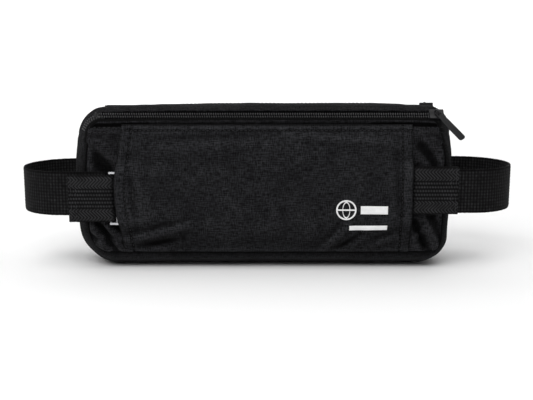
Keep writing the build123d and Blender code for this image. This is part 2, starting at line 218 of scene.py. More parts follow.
def new_piece(name, verts, faces, material, rise=None, threads=None):
    """A mesh object from points in millimetres, with a painted shade tone (rise) and the place of its
    threads.
    """
    mesh = bpy.data.meshes.new(name)
    mesh.from_pydata((np.asarray(verts, float) * MM).tolist(), [], faces)
    # rise is painted shade: a tone that darkens or lightens the material's colour
    if rise is not None:
        risen = mesh.attributes.new("painted_shade_tone", "FLOAT", "POINT")
        risen.data.foreach_set("value", np.asarray(rise, np.float32).ravel())
    if threads is not None:
        spot = np.zeros((len(verts), 3), np.float32)
        spot[:, :2] = np.asarray(threads).reshape(-1, 2) * MM
        laid = mesh.attributes.new("thread_place", "FLOAT_VECTOR", "POINT")
        laid.data.foreach_set("vector", spot.ravel())
    mesh.update()
    mesh.materials.append(material)
    mesh.shade_smooth()
    return new_object(name, mesh)


def new_sheet(name, points, material, keep=None, flip=False, wrap=False, rise=None, threads=None):
    """A mesh object from a grid of points, with its faces turned over if asked."""
    faces = grid_faces(*points.shape[:2], wrap=wrap, keep=keep)
    if flip:
        faces = [f[::-1] for f in faces]
    if rise is not None:
        rise = np.broadcast_to(rise, points.shape[:2])
    return new_piece(name, points.reshape(-1, 3), faces, material, rise, threads)


def bell(distance, width):
    """1 at no distance, falling away on both sides over a width."""
    return np.exp(-((distance / width) ** 2))


def thread_run(points):
    """Lengths along and across a grid of points, for the weave to follow."""
    along = np.linalg.norm(np.diff(points[:, points.shape[1] // 2], axis=0), axis=1)
    across = np.linalg.norm(np.diff(points[points.shape[0] // 2], axis=0), axis=1)
    steps = [np.append(0, np.cumsum(run)) for run in (along, across)]
    return np.stack(np.meshgrid(*steps, indexing="ij"), axis=-1)


def fold_painted_shade(points, way=-1):
    """Painted shade on a folded sheet: the crowns of folds painted lighter, the bottoms of folds and seams
    painted darker.
    """
    lift = way * points[..., 1]
    wide = lift.copy()
    for _ in range(FOLD_SHADE_PASSES):
        padded = np.pad(wide, 1, mode="edge")
        wide = (padded[:-2, 1:-1] + padded[2:, 1:-1] + padded[1:-1, :-2] + padded[1:-1, 2:]) / 4
    return np.clip((lift - wide) * FOLD_SHADE_GAIN, -0.75, 0.6)


def grid_faces(rows, cols, wrap=False, keep=None):
    """Quads of a grid stored row by row, optionally closed across its columns."""
    faces = []
    for i in range(rows - 1):
        for j in range(cols if wrap else cols - 1):
            if keep is not None and not keep[i, j]:
                continue
            k = (j + 1) % cols
            faces.append((i * cols + j, (i + 1) * cols + j, (i + 1) * cols + k, i * cols + k))
    return faces


@contextmanager
def mesh_of(obj):
    """A piece's mesh, open for changes."""
    work = bmesh.new()
    work.from_mesh(obj.data)
    yield work
    work.to_mesh(obj.data)
    work.free()


def outward(obj):
    """Turn every face of a closed mesh outwards."""
    with mesh_of(obj) as work:
        bmesh.ops.recalc_face_normals(work, faces=work.faces)
    return obj


def drop_loose(obj):
    """Remove points that no face uses."""
    with mesh_of(obj) as work:
        bmesh.ops.delete(work, geom=[v for v in work.verts if not v.link_faces], context="VERTS")
    return obj


def bake_modifiers(obj):
    """Turn the modifiers of a piece into plain mesh."""
    graph = bpy.context.evaluated_depsgraph_get()
    mesh = bpy.data.meshes.new_from_object(obj.evaluated_get(graph))
    obj.modifiers.clear()
    obj.data = mesh
    return obj


def thicken(obj, thickness, inward=True):
    """Give a sheet real thickness and rounded free edges."""
    solid = obj.modifiers.new("thickness", "SOLIDIFY")
    solid.thickness = thickness * MM
    solid.offset = -1 if inward else 1
    return bake_modifiers(obj)


def place(obj, body, slot, *nodes):
    """Let a piece ride its body and stand for CAD nodes; slot, the name of its finish, is not used."""
    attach(obj, body)
    if nodes:
        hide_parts(*nodes)
    return obj


# ---- materials

def new_material(name, color, roughness, **sockets):
    """A Principled material; returns the material, its nodes, its links and its shader."""
    mat = bpy.data.materials.new(name)
    mat.use_nodes = True
    tree = mat.node_tree
    shader = tree.nodes["Principled BSDF"]
    shader.inputs["Base Color"].default_value = (*color, 1)
    shader.inputs["Roughness"].default_value = roughness
    for key, value in sockets.items():
        shader.inputs[key.replace("_", " ")].default_value = value
    return mat, tree.nodes, tree.links, shader


def add(nodes, kind, **values):
    """A node with some of its properties and inputs set."""
    node = nodes.new(kind)
    for key, value in values.items():
        if hasattr(node, key):
            setattr(node, key, value)
        else:
            node.inputs[key.replace("_", " ")].default_value = value
    return node


def object_axes(nodes, links):
    """Object coordinates, split into X, Y and Z."""
    coords = add(nodes, "ShaderNodeTexCoord")
    split = add(nodes, "ShaderNodeSeparateXYZ")
    links.new(coords.outputs["Object"], split.inputs[0])
    return coords.outputs["Object"], split


def maths(nodes, links, operation, a, b=None):
    """A maths node fed by sockets or numbers."""
    node = add(nodes, "ShaderNodeMath", operation=operation)
    for socket, value in zip(node.inputs, (a, b)):
        if value is None:
            continue
        if isinstance(value, (int, float)):
            socket.default_value = value
        else:
            links.new(value, socket)
    return node.outputs[0]


def thread_wave(nodes, links, axis, pitch):
    """A rounded ripple of a given pitch, in millimetres, along one axis."""
    turned = maths(nodes, links, "MULTIPLY", axis, 2 * math.pi / (pitch * MM))
    return maths(nodes, links, "SINE", turned)


def mottled(nodes, links, coords, dark, light, scale, detail=3.0):
    """A slow mix of two colours, for wear and uneven dye."""
    cloud = add(nodes, "ShaderNodeTexNoise", Scale=scale, Detail=detail, Roughness=0.6)
    links.new(coords, cloud.inputs["Vector"])
    ramp = add(nodes, "ShaderNodeValToRGB")
    ramp.color_ramp.elements[0].position = 0.35
    ramp.color_ramp.elements[1].position = 0.68
    ramp.color_ramp.elements[0].color = (*dark, 1)
    ramp.color_ramp.elements[1].color = (*light, 1)
    links.new(cloud.outputs["Fac"], ramp.inputs["Fac"])
    return ramp.outputs["Color"], cloud.outputs["Fac"]


def bump(nodes, links, shader, height, distance, strength=1.0):
    """Feed a height to the shader's normal."""
    node = add(nodes, "ShaderNodeBump", Strength=strength, Distance=distance * MM)
    links.new(height, node.inputs["Height"])
    links.new(node.outputs["Normal"], shader.inputs["Normal"])


def streaks(nodes, links, along, across, run, pitch):
    """Uneven yarns: noise drawn out along one axis and fine across the other."""
    vector = add(nodes, "ShaderNodeCombineXYZ")
    links.new(maths(nodes, links, "MULTIPLY", along, 1 / (run * MM)), vector.inputs["X"])
    links.new(maths(nodes, links, "MULTIPLY", across, 1 / (pitch * MM)), vector.inputs["Y"])
    yarn = add(nodes, "ShaderNodeTexNoise", Scale=1.0, Detail=2.0, Roughness=0.6)
    links.new(vector.outputs[0], yarn.inputs["Vector"])
    return yarn.outputs["Fac"]


def tinted(nodes, links, color, tone):
    """A colour made darker or lighter by a tone."""
    grey = add(nodes, "ShaderNodeCombineColor")
    for channel in ("Red", "Green", "Blue"):
        links.new(tone, grey.inputs[channel])
    mix = add(nodes, "ShaderNodeMix", data_type="RGBA", blend_type="MULTIPLY")
    mix.inputs["Factor"].default_value = 1.0
    links.new(color, mix.inputs["A"])
    links.new(grey.outputs["Color"], mix.inputs["B"])
    return mix.outputs["Result"]


def canvas_cloth(name, dark, light, pitch=0.85, depth=0.16, uneven=4.0, specular=0.04, bloom=0.018,
                 follows=True):
    """Plain-woven polyester: crossed threads, thick and thin yarns, uneven dye and a faint bloom, with
    painted shade from the mesh's tone and the weave.
    """
    mat, nodes, links, shader = new_material(
        name, light, 0.85, Sheen_Weight=bloom, Sheen_Roughness=0.5, Specular_IOR_Level=specular
    )
    calc = partial(maths, nodes, links)
    coords, axes = object_axes(nodes, links)
    sideways = axes.outputs["X"]
    upright = calc("ADD", axes.outputs["Z"], axes.outputs["Y"])
    if follows:
        laid = add(nodes, "ShaderNodeAttribute", attribute_name="thread_place")
        ways = add(nodes, "ShaderNodeSeparateXYZ")
        links.new(laid.outputs["Vector"], ways.inputs[0])
        sideways, upright = ways.outputs["X"], ways.outputs["Y"]
    warp = thread_wave(nodes, links, sideways, pitch)
    weft = thread_wave(nodes, links, upright, pitch)
    weave = calc("MULTIPLY", warp, weft)
    level = streaks(nodes, links, sideways, upright, 5.0, 0.62)
    plumb = streaks(nodes, links, upright, sideways, 3.2, 0.62)
    yarns = calc("ADD", level, plumb)
    height = calc("ADD", weave, calc("MULTIPLY", yarns, 1.6))
    color, cloud = mottled(nodes, links, coords, dark, light, 60.0)
    tone = calc("MULTIPLY", calc("SUBTRACT", yarns, 1.0), uneven)
    # painted shade between crossing threads: colour lighter where the weave rises, darker where it dips
    tone = calc("ADD", tone, calc("MULTIPLY", weave, 0.3))
    tone = calc("MAXIMUM", calc("ADD", tone, 1.0), 0.15)
    # painted shade: the mesh's fold and seam tone scales the colour
    wear_and_painted_shade = add(nodes, "ShaderNodeAttribute", attribute_name="painted_shade_tone")
    tone = calc("MULTIPLY", tone, calc("ADD", wear_and_painted_shade.outputs["Fac"], 1.0))
    links.new(tinted(nodes, links, color, tone), shader.inputs["Base Color"])
    rough = calc("MULTIPLY", cloud, 0.2)
    links.new(calc("ADD", rough, 0.72), shader.inputs["Roughness"])
    bump(nodes, links, shader, height, depth)
    return mat


def yarn_cloth(name, dark, light, pitch=0.5, depth=0.08, specular=0.06, contrast=2.2):
    """Heavier yarn for webbing and elastic, whose ribs are in the mesh: painted shade in the valleys and
    lighter crowns, from the rib height.
    """
    mat, nodes, links, shader = new_material(
        name, light, 0.75, Sheen_Weight=0.02, Sheen_Roughness=0.4, Specular_IOR_Level=specular
    )
    calc = partial(maths, nodes, links)
    coords, axes = object_axes(nodes, links)
    stretch = add(nodes, "ShaderNodeMapping")
    stretch.inputs["Scale"].default_value = (1.0, 1.0, 6.0)
    links.new(coords, stretch.inputs["Vector"])
    hairs = add(nodes, "ShaderNodeTexNoise", Scale=1400.0, Detail=2.0)
    links.new(stretch.outputs["Vector"], hairs.inputs["Vector"])
    ripple = thread_wave(nodes, links, axes.outputs["Z"], pitch)
    height = calc("ADD", calc("MULTIPLY", ripple, 0.5), hairs.outputs["Fac"])
    color, cloud = mottled(nodes, links, coords, dark, light, 160.0)
    # painted shade: rib valleys darker and rib crowns lighter, from the stored rib height
    rise = add(nodes, "ShaderNodeAttribute", attribute_name="painted_shade_tone")
    tone = calc("MULTIPLY", rise.outputs["Fac"], contrast)
    tone = calc("ADD", tone, 0.05)
    fuzz = calc("ADD", calc("MULTIPLY", hairs.outputs["Fac"], 0.8), 0.6)
    tone = calc("MULTIPLY", tone, fuzz)
    links.new(tinted(nodes, links, color, tone), shader.inputs["Base Color"])
    rough = calc("MULTIPLY", cloud, 0.2)
    links.new(calc("ADD", rough, 0.65), shader.inputs["Roughness"])
    bump(nodes, links, shader, height, depth)
    return mat


def moulded(name, dark, light, roughness, grain=0.03, **sockets):
    """Moulded or enamelled surface: slight mottling, handling marks and fine grain."""
    mat, nodes, links, shader = new_material(name, light, roughness, **sockets)
    calc = partial(maths, nodes, links)
    coords = object_axes(nodes, links)[0]
    color = mottled(nodes, links, coords, dark, light, 220.0)[0]
    links.new(color, shader.inputs["Base Color"])
    marks = add(nodes, "ShaderNodeTexNoise", Scale=1200.0, Detail=4.0)
    links.new(coords, marks.inputs["Vector"])
    rough = calc("MULTIPLY", marks.outputs["Fac"], 0.18)
    rough = calc("ADD", rough, roughness - 0.09)
    links.new(rough, shader.inputs["Roughness"])
    bump(nodes, links, shader, marks.outputs["Fac"], grain)
    return mat


FINE_WEAVE = {"pitch": 0.5, "depth": 0.05, "uneven": 1.0, "follows": False}
TAPE_WEAVE = {**FINE_WEAVE, "pitch": 0.45, "specular": 0.01, "bloom": 0.0}
MATT = {"Specular_IOR_Level": 0.1}
SATIN = {"Specular_IOR_Level": 0.2}
NYLON = {"Specular_IOR_Level": 0.3}

SHELL = canvas_cloth("shell_fabric", (0.0098, 0.0098, 0.0108), (0.0144, 0.0144, 0.0157))
SLEEVE = canvas_cloth("sleeve_fabric", (0.0122, 0.0124, 0.0137), (0.0176, 0.0179, 0.0194))
LINING = canvas_cloth("lining_cloth", (0.020, 0.020, 0.022), (0.030, 0.030, 0.033), **FINE_WEAVE)
WEBBING = yarn_cloth("black_webbing", (0.010, 0.010, 0.0105), (0.017, 0.017, 0.018), contrast=2.7)
ELASTIC = yarn_cloth("black_elastic", (0.0048, 0.0048, 0.005), (0.0088, 0.0088, 0.0092), 0.6, contrast=3.8)
# zip tape: its own black, darkened further as painted shade in the zip's gap
TAPE = canvas_cloth("zip_tape", (0.004, 0.004, 0.0044), (0.007, 0.007, 0.0075), **TAPE_WEAVE)
THREAD = moulded("sewing_thread", (0.016, 0.016, 0.017), (0.034, 0.034, 0.036), 0.7, **MATT)
COIL = moulded("nylon_coil", (0.040, 0.040, 0.041), (0.066, 0.066, 0.068), 0.5, 0.02, **NYLON)
ENAMEL = moulded("black_enamel", (0.005, 0.005, 0.006), (0.010, 0.010, 0.011), 0.40, 0.01, **SATIN)
PLASTIC = moulded("buckle_plastic", (0.010, 0.010, 0.011), (0.018, 0.018, 0.019), 0.48)
CHROME = moulded("polished_steel", (0.42, 0.42, 0.44), (0.62, 0.62, 0.64), 0.2, 0.004, Metallic=1.0)
INK = moulded("white_ink", (0.78, 0.78, 0.78), (0.90, 0.90, 0.90), 0.6, 0.02)
BINDING = canvas_cloth("seam_binding", (0.010, 0.010, 0.011), (0.018, 0.018, 0.019), **FINE_WEAVE)


# ---- the filled bag's form

def corner_radii(inset):
    """Corner radii of the bag's outline, drawn in: base left, base right, top left, top right."""
    return [max(r - inset, 1.5) for r in (BASE_LEFT_R, BASE_RIGHT_R, TOP_LEFT_R, TOP_RIGHT_R)]


def outline_side(side, t, inset):
    """Points on one side of the bag's outline, t from 0 to 1 between two corners' middles."""
    base_left, base_right, top_left, top_right = corner_radii(inset)
    start_r, end_r = {
        "base": (base_left, base_right),
        "right": (base_right, top_right),
        "top": (top_left, top_right),
        "left": (base_left, top_left),
    }[side]
    span = 2 * (HALF_LENGTH - inset) if side in ("base", "top") else HEIGHT - 2 * inset
    straight = span - start_r - end_r
    quarter = math.pi / 4
    total = quarter * (start_r + end_r) + straight
    s = np.asarray(t, float) * total
    first = s < quarter * start_r
    last = s > quarter * start_r + straight
    turn0 = quarter - s / start_r
    turn1 = (s - quarter * start_r - straight) / end_r
    along = np.where(
        first,
        start_r - start_r * np.sin(turn0),
        np.where(last, span - end_r + end_r * np.sin(turn1), start_r + s - quarter * start_r),
    )
    drop = np.where(
        first,
        start_r - start_r * np.cos(turn0),
        np.where(last, end_r - end_r * np.cos(turn1), 0.0),
    )
    if side == "base":
        return -HALF_LENGTH + inset + along, inset + drop
    if side == "top":
        return -HALF_LENGTH + inset + along, HEIGHT - inset - drop
    if side == "right":
        return HALF_LENGTH - inset - drop, inset + along
    return -HALF_LENGTH + inset + drop, inset + along


def depth_inset(y):
    """How far the outline draws in at a depth, from none at mid-depth to the bevel at a seam."""
    return BEVEL * np.abs(y / HALF_DEPTH) ** BEVEL_POWER


def cloth_noise(points, scale, seed):
    """Smooth noise over points in millimetres."""
    shift = Vector((seed * 17.3, seed * 5.1, seed * 9.7))
    flat = points.reshape(-1, 3) / scale
    values = [noise.noise(Vector(p) + shift) for p in flat]
    return np.array(values).reshape(points.shape[:-1])


def crease(x, z, x0, z0, x1, z1, width, height):
    """Height of one soft fold between two points of the front, tapering at both ends."""
    dx, dz = x1 - x0, z1 - z0
    length2 = dx * dx + dz * dz
    t = np.clip(((x - x0) * dx + (z - z0) * dz) / length2, 0, 1)
    off = np.hypot(x - x0 - t * dx, z - z0 - t * dz)
    taper = 0.35 + 0.65 * np.sin(math.pi * np.clip(t, 0.05, 0.95))
    return height * taper * bell(off, width)


def smooth(value, start, end):
    """0 before start, 1 after end, eased between."""
    t = np.clip((value - start) / (end - start), 0, 1)
    return t * t * (3 - 2 * t)


def crown_fall(x, y):
    """How far the bag's top drops towards its ends, less at the front than behind."""
    left = CROWN_LEFT_FALL * np.clip((-x - CROWN_LEFT_START) / 88, 0, 1.4) ** 2.1
    right = CROWN_RIGHT_FALL * np.clip((x - CROWN_RIGHT_START) / 44, 0, 1.25) ** 2.2
    behind = (left + right) * (0.25 + 0.75 * smooth(y, -16, 6)) + 0.8 * smooth(y, -12, 4)
    return behind + FRONT_ZIP_SINK * bell(y - FRONT_ZIP_SINK_Y, 3.2)


def draw_sides(points):
    """The filled bag's lean: bulging sides, a crown that falls away, and a stretched right seam."""
    x, y, z = points[..., 0].copy(), points[..., 1], points[..., 2].copy()
    rise = (z - SIDE_DRAW_Z) / SIDE_DRAW_SPAN
    grow = SIDE_BULGE - SIDE_DRAW * np.clip(np.abs(rise), 0, 1.2) ** 2.2
    grow -= LEFT_LEAN * smooth(z, 62, 96) * (x < 0)
    points[..., 0] += np.sign(x) * grow * np.clip(np.abs(x) / HALF_LENGTH, 0, 1) ** 3
    front = smooth(-y, 6, HALF_DEPTH)
    points[..., 0] += RIGHT_EDGE_PUSH * front * smooth(x, 70, 110) * smooth(93 - z, 0, 22)
    points[..., 2] -= crown_fall(x, y) * smooth(z, 70, 96)
    sag = 0.5 * np.sin(x / 23.0 + 0.7) + 0.35 * np.sin(x / 9.5 + 2.0)
    points[..., 2] += np.maximum(sag, -0.1) * smooth(12 - z, 0, 8) * front * 0.9
    return points


# folds of the front: x0, z0, x1, z1, width, height
FRONT_FOLDS = (
    (-114, 78, -93, 61, 6.0, -2.6),
    (-108, 84, -96, 74, 4.0, 1.0),
    (-110, 33, -98, 10, 2.5, 3.4),
    (-105, 33, -93, 13, 2.2, -3.6),
    (-101, 31, -90, 20, 2.1, 2.8),
    (-99, 22, -88, 12, 2.0, 2.4),
    (-95, 30, -87, 24, 1.9, -2.6),
    (-110, 24, -99, 17, 2.0, -2.2),
    (-108, 62, -104, 36, 3.0, 1.2),
    (97, 34, 107, 12, 2.5, 3.0),
    (94, 30, 103, 9, 2.2, -3.6),
    (104, 34, 111, 18, 2.4, -2.0),
    (92, 18, 100, 26, 2.0, 2.0),
    (100, 88, 110, 68, 4.0, 1.6),
    (97, 80, 105, 66, 2.8, -1.8),
    (104, 62, 108, 38, 3.0, 1.2),
)
SLEEVE_FOLDS = (
    (-84, 20, -46, 30, 3.0, 1.5),
    (-82, 14, -50, 21, 2.6, -1.1),
    (-76, 11, -58, 14, 2.2, 0.9),
    (34, 9, 54, 29, 2.8, 1.4),
    (40, 8, 62, 24, 2.4, -1.0),
    (-70, 85, 10, 88, 3.0, -0.7),
    (20, 87, 80, 83, 3.0, 0.7),
    (-84, 72, -79, 30, 3.6, -1.0),
    (84, 76, 88, 22, 3.6, -1.0),
    (-30, 12, 20, 15, 3.6, 0.9),
    (66, 14, 84, 22, 2.6, 1.0),
    (-64, 76, -30, 80, 5.0, 0.6),
)


def fold_field(x, z, folds):
    """All the soft folds of a panel, added up."""
    return FOLD_STRENGTH * sum(crease(x, z, *fold) for fold in folds)


def band_points(side, t, y):
    """Points on the band that runs round the bag between its two seams."""
    inset = depth_inset(y)
    spots = np.array([
        [outline_side(side, t[i, j], inset[i, j]) for j in range(t.shape[1])]
        for i in range(t.shape[0])
    ])
    return np.stack((spots[..., 0], y, spots[..., 1]), axis=-1)


def centre_pull(points, amount):
    """Move points of the band towards the bag's long middle line."""
    centre_x = np.clip(points[..., 0], -HALF_LENGTH * 0.8, HALF_LENGTH * 0.8)
    dx = centre_x - points[..., 0]
    dz = np.clip(points[..., 2], 0.3 * HEIGHT, 0.7 * HEIGHT) - points[..., 2]
    reach = np.hypot(dx, dz) + 1e-6
    points[..., 0] += amount * dx / reach
    points[..., 2] += amount * dz / reach
    return points


def seam_dip(distance):
    """Depth of the groove beside a sewn seam."""
    return SEAM_PINCH * bell(distance, SEAM_PINCH_W)


def spaced(count, crowd=0.35):
    """Steps from 0 to 1, closer together at both ends."""
    t = np.linspace(0, 1, count)
    return (1 - crowd) * t + crowd * (1 - np.cos(math.pi * t)) / 2


def zip_base(label, way):
    """Middle of a zip's chain at the cloth's surface, from its two coils."""
    both = (f"{label}_zip_lower_coil", f"{label}_zip_upper_coil")
    lo = np.minimum(low(both[0]), low(both[1]))
    hi = np.maximum(high(both[0]), high(both[1]))
    return np.array((0.0, (lo[1] + hi[1]) / 2 - way * COIL_OFF, (lo[2] + hi[2]) / 2 + COIL_OFF))


FRONT_ZIP_BASE = zip_base("front", 1)
REAR_ZIP_BASE = zip_base("rear", -1)


def finish_band(points, seed):
    """Slack, wrinkles and seam grooves of the band."""
    y = points[..., 1]
    to_seam = HALF_DEPTH - np.abs(y)
    slack = 1 - bell(to_seam, 6.0)
    wrinkle = 0.9 * cloth_noise(points, 26.0, seed) + 0.45 * cloth_noise(points, 9.0, seed + 1)
    high_up = smooth(points[..., 2], 88, 96) * smooth(118 - np.abs(points[..., 0]), 0, 8)
    for zip_y in (FRONT_ZIP_BASE[1], REAR_ZIP_BASE[1]):
        calm = np.exp(-(((y - zip_y) / 5.0) ** 4)) * high_up
        wrinkle *= 1 - calm
        slack = slack * (1 - 0.8 * calm)
    groove = seam_dip(to_seam) * (1 - 0.9 * high_up * (y < 0))
    groove += 0.8 * seam_dip(y - LID_SEAM_Y) * high_up
    groove += 0.4 * seam_dip(points[..., 2] - SIDE_SEAM_Z) * (np.abs(points[..., 0]) > 100)
    base_roll = smooth(16 - points[..., 2], 0, 8) * (y < 0)
    groove += base_roll * (0.9 * seam_dip(to_seam) - 0.7 * bell(to_seam - 3.2, 1.8))
    points = centre_pull(points, groove + slack * (0.95 + 0.8 * wrinkle))
    points[..., 1] -= 1.1 * base_roll * bell(to_seam - 1.6, 1.5)
    points = draw_sides(points)
    points[..., 2] -= 0.6 * smooth(9 - points[..., 2], 0, 7)
    points[..., 2] = np.maximum(points[..., 2], 0.02)
    return points


def fill_outline(a, b, inset):
    """Places across (a) and up (b) the bag's outline drawn in by an inset, each from 0 to 1."""
    bx, bz = outline_side("base", a, inset)
    tx, tz = outline_side("top", a, inset)
    lx, lz = outline_side("left", b, inset)
    rx, rz = outline_side("right", b, inset)
    corner = [outline_side(s, e, inset) for s, e in (("base", 0), ("base", 1), ("top", 0), ("top", 1))]
    mixed = []
    for base, top, left, right, k in ((bx, tx, lx, rx, 0), (bz, tz, lz, rz, 1)):
        flat = (1 - b) * base + b * top + (1 - a) * left + a * right
        flat -= (1 - a) * (1 - b) * corner[0][k] + a * (1 - b) * corner[1][k]
        flat -= (1 - a) * b * corner[2][k] + a * b * corner[3][k]
        mixed.append(flat)
    return mixed


def face_points(a, b, way):
    """Points on the front (way -1) or back (way 1) panel: a across, b up, each from 0 to 1."""
    x, z = fill_outline(a, b, BEVEL)
    edge_x = np.minimum(a, 1 - a) * 2 * (HALF_LENGTH - BEVEL)
    edge_z = np.minimum(b, 1 - b) * (HEIGHT - 2 * BEVEL)
    to_seam = np.minimum(edge_x, edge_z)
    if way < 0:
        to_strip = np.abs(np.where(b > 0.5, STRIP_SEAM_Z - z, edge_z))
        to_seam = np.minimum(edge_x + 30 * smooth(z, 80, 92), to_strip)
    fill = 1 - bell(to_seam, 9.0)
    if way < 0:
        fill = np.maximum(fill, 0.9 * smooth(to_seam, 0.6, 4.0) * smooth(36 - z, 0, 10))
    points = np.stack((x, np.full(x.shape, way * HALF_DEPTH), z), axis=-1)
    wrinkle = 0.9 * cloth_noise(points, 24.0, 3 + way) + 0.5 * cloth_noise(points, 8.0, 7 + way)
    lift = fill * (0.1 + wrinkle) - seam_dip(to_seam)
    if way < 0:
        inner = np.clip((84 - np.abs(x)) / 20, 0, 1)
        lift = (lift + fold_field(x, z, FRONT_FOLDS) * fill) * (1 - inner) - 0.6 * inner * fill
    else:
        lift += fill * 0.8
    points[..., 1] += way * lift
    return draw_sides(points), to_seam


def make_face(name, way, node):
    """Front or back panel as one sewn sheet."""
    a, b = np.meshgrid(*map(spaced, PANEL_GRID), indexing="ij")
    points, to_seam = face_points(a, b, way)
    # painted shade in the folds and beside the seams, with lighter crowns
    tone = fold_painted_shade(points, way) + seam_painted_shade(to_seam)
    obj = new_sheet(name, points, SHELL, flip=way > 0, rise=tone, threads=points[..., (0, 2)])
    place(thicken(obj, CLOTH_T), "bag", "shell_fabric", node)
    return points.reshape(-1, 3)


def on_panel(panel, x, z, proud):
    """The front panel's surface at some places, from its nearest points, standing proud by a little."""
    gap = (panel[None, :, 0] - x[:, None]) ** 2 + (panel[None, :, 2] - z[:, None]) ** 2
    near = panel[np.argmin(gap, axis=1)]
    return np.stack((x, near[:, 1] - proud, z), axis=-1)


def seam_painted_shade(to_seam, depth=0.88):
    """Painted shade beside a seam: dark in the stitching line's groove, with a painted highlight on the roll
    next to it.
    """
    return 0.3 * bell(to_seam - 3.4, 1.6) - depth * bell(to_seam, 1.5)


def strip_of_band(sides, y_steps, seed):
    """Part of the band round the bag, from a run of outline positions and depth steps."""
    chunks = []
    for side, t0, t1, count in sides:
        steps = np.linspace(t0, t1, count)
        t, y = np.meshgrid(steps[1:] if chunks else steps, y_steps, indexing="ij")
        chunks.append(band_points(side, t, y))
    raw = np.concatenate(chunks)
    return raw, finish_band(raw.copy(), seed)


def seam_fraction(side):
    """Where a side's outline passes the side seam's height."""
    t = np.linspace(0, 1, 4001)
    z = outline_side(side, t, 0.0)[1]
    return float(t[np.argmin(np.abs(z - SIDE_SEAM_Z))])


def make_side_gusset():
    """Band up both sides and under the base."""
    y = HALF_DEPTH * (2 * spaced(44, 0.5) - 1)
    left_seam, right_seam = seam_fraction("left"), seam_fraction("right")
    sides = (("left", left_seam, 0, 90), ("base", 0, 1, 200), ("right", 0, right_seam, 90))
    points = strip_of_band(sides, y, BAND_SEED)[1]
    # painted shade beside the front and back seams
    tone = seam_painted_shade(HALF_DEPTH - np.abs(y))
    obj = new_sheet("side_and_base_gusset", points, SHELL, flip=True, rise=tone, threads=thread_run(points))
    return place(thicken(obj, CLOTH_T), "bag", "shell_fabric", "side_gusset")


def top_columns():
    """Depths of the top's grid, with a line on every edge of a lid and a zip's gap."""
    gap = 2 * ZIP_GAP_HALF * SLOPE
    front_edge, back_edge = LID_FRONT_Y - gap, LID_BACK_Y + gap
    stops = (-HALF_DEPTH, front_edge, LID_FRONT_Y, LID_SEAM_Y, LID_BACK_Y, back_edge, HALF_DEPTH)
    counts = (5, 7, 20, 12, 7, 6)
    runs = [np.linspace(a, b, n + 1)[:-1] for a, b, n in zip(stops, stops[1:], counts)]
    marks = np.cumsum((0, *counts))
    return np.append(np.concatenate(runs), stops[-1]), marks


def make_top():
    """The top's ends and edge strips, and the two lids between the zips, as one fitted surface."""
    y, marks = top_columns()
    left_seam, right_seam = seam_fraction("left"), seam_fraction("right")
    sides = (("left", left_seam, 1, 60), ("top", 0, 1, 300), ("right", 1, right_seam, 60))
    raw, points = strip_of_band(sides, y, BAND_SEED)
    mid_x = raw[:, marks[3], 0]
    on_top = raw[:, marks[3], 2] > SIDE_SEAM_Z + 6
    rows = np.arange(len(mid_x))
    first, last, gap_first = (
        rows[on_top][np.argmin(np.abs(mid_x[on_top] - x))] for x in (-LID_HALF, LID_HALF, CHAIN_LEFT - 2.4)
    )

    def within(cells, start, stop):
        return (cells >= start) & (cells < stop)

    cell_row, cell_col = np.meshgrid(np.arange(len(rows) - 1), np.arange(len(y) - 1), indexing="ij")
    front_gap, front, rear, rear_gap = (within(cell_col, marks[k], marks[k + 1]) for k in (1, 2, 3, 4))
    front, rear = (part & within(cell_row, first, last) for part in (front, rear))
    gaps = within(cell_row, gap_first, last) & (front_gap | rear_gap)
    frame_part = ~(front | rear | gaps)
    column = np.arange(len(y))
    edge = bell(column - marks[2], 2.2) + bell(column - marks[4], 2.2)
    points[first:last + 1, :, 2] += LID_EDGE_RISE * edge * ((column >= marks[2]) & (column <= marks[4]))
    # painted shade at the lid seam and the front seam
    tone = seam_painted_shade(np.abs(y - LID_SEAM_Y), 0.6) + seam_painted_shade(HALF_DEPTH + y + 20 * (y > 0), 0.5)
    from_lid = y - LID_FRONT_Y
    # painted highlight on the lid's front edge and painted shade in the fold just behind it
    tone += 0.5 * bell(from_lid - 0.4, 1.1) - 0.5 * bell(from_lid - 3.2, 1.0)
    # painted shade along the edge of the front zip's gap
    tone -= 0.7 * bell(from_lid + 2 * ZIP_GAP_HALF * SLOPE + 0.3, 0.8)
    # painted shade: the whole top darker, against the overhead light it faces
    tone = np.maximum(tone - 0.15, -0.9)
    pieces = (
        ("zip_gusset_cloth", frame_part, "bag", "zip_gusset"),
        ("front_lid_cloth", front, "front_lid", "front_lid"),
        ("rear_lid_cloth", rear, "rear_lid", "rear_lid"),
    )
    for name, keep, body, node in pieces:
        obj = new_sheet(name, points, SHELL, keep=keep, rise=tone, threads=thread_run(points))
        place(thicken(drop_loose(obj), CLOTH_T), body, "shell_fabric", node)
    return points, marks, (first, last, gap_first)


def make_divider():
    """Lining wall between the two pockets, cut to the filled outline."""
    a, b = np.meshgrid(*map(spaced, DIVIDER_GRID), indexing="ij")
    x, z = fill_outline(a, b, DIVIDER_INSET)
    points = np.stack((x, np.full(x.shape, (low("divider")[1] + high("divider")[1]) / 2), z), axis=-1)
    points[..., 1] += 0.6 * cloth_noise(points, 30.0, 41)
    obj = new_sheet("divider_cloth", draw_sides(points), LINING)
    place(thicken(obj, CLOTH_T), "bag", "lining", "divider")


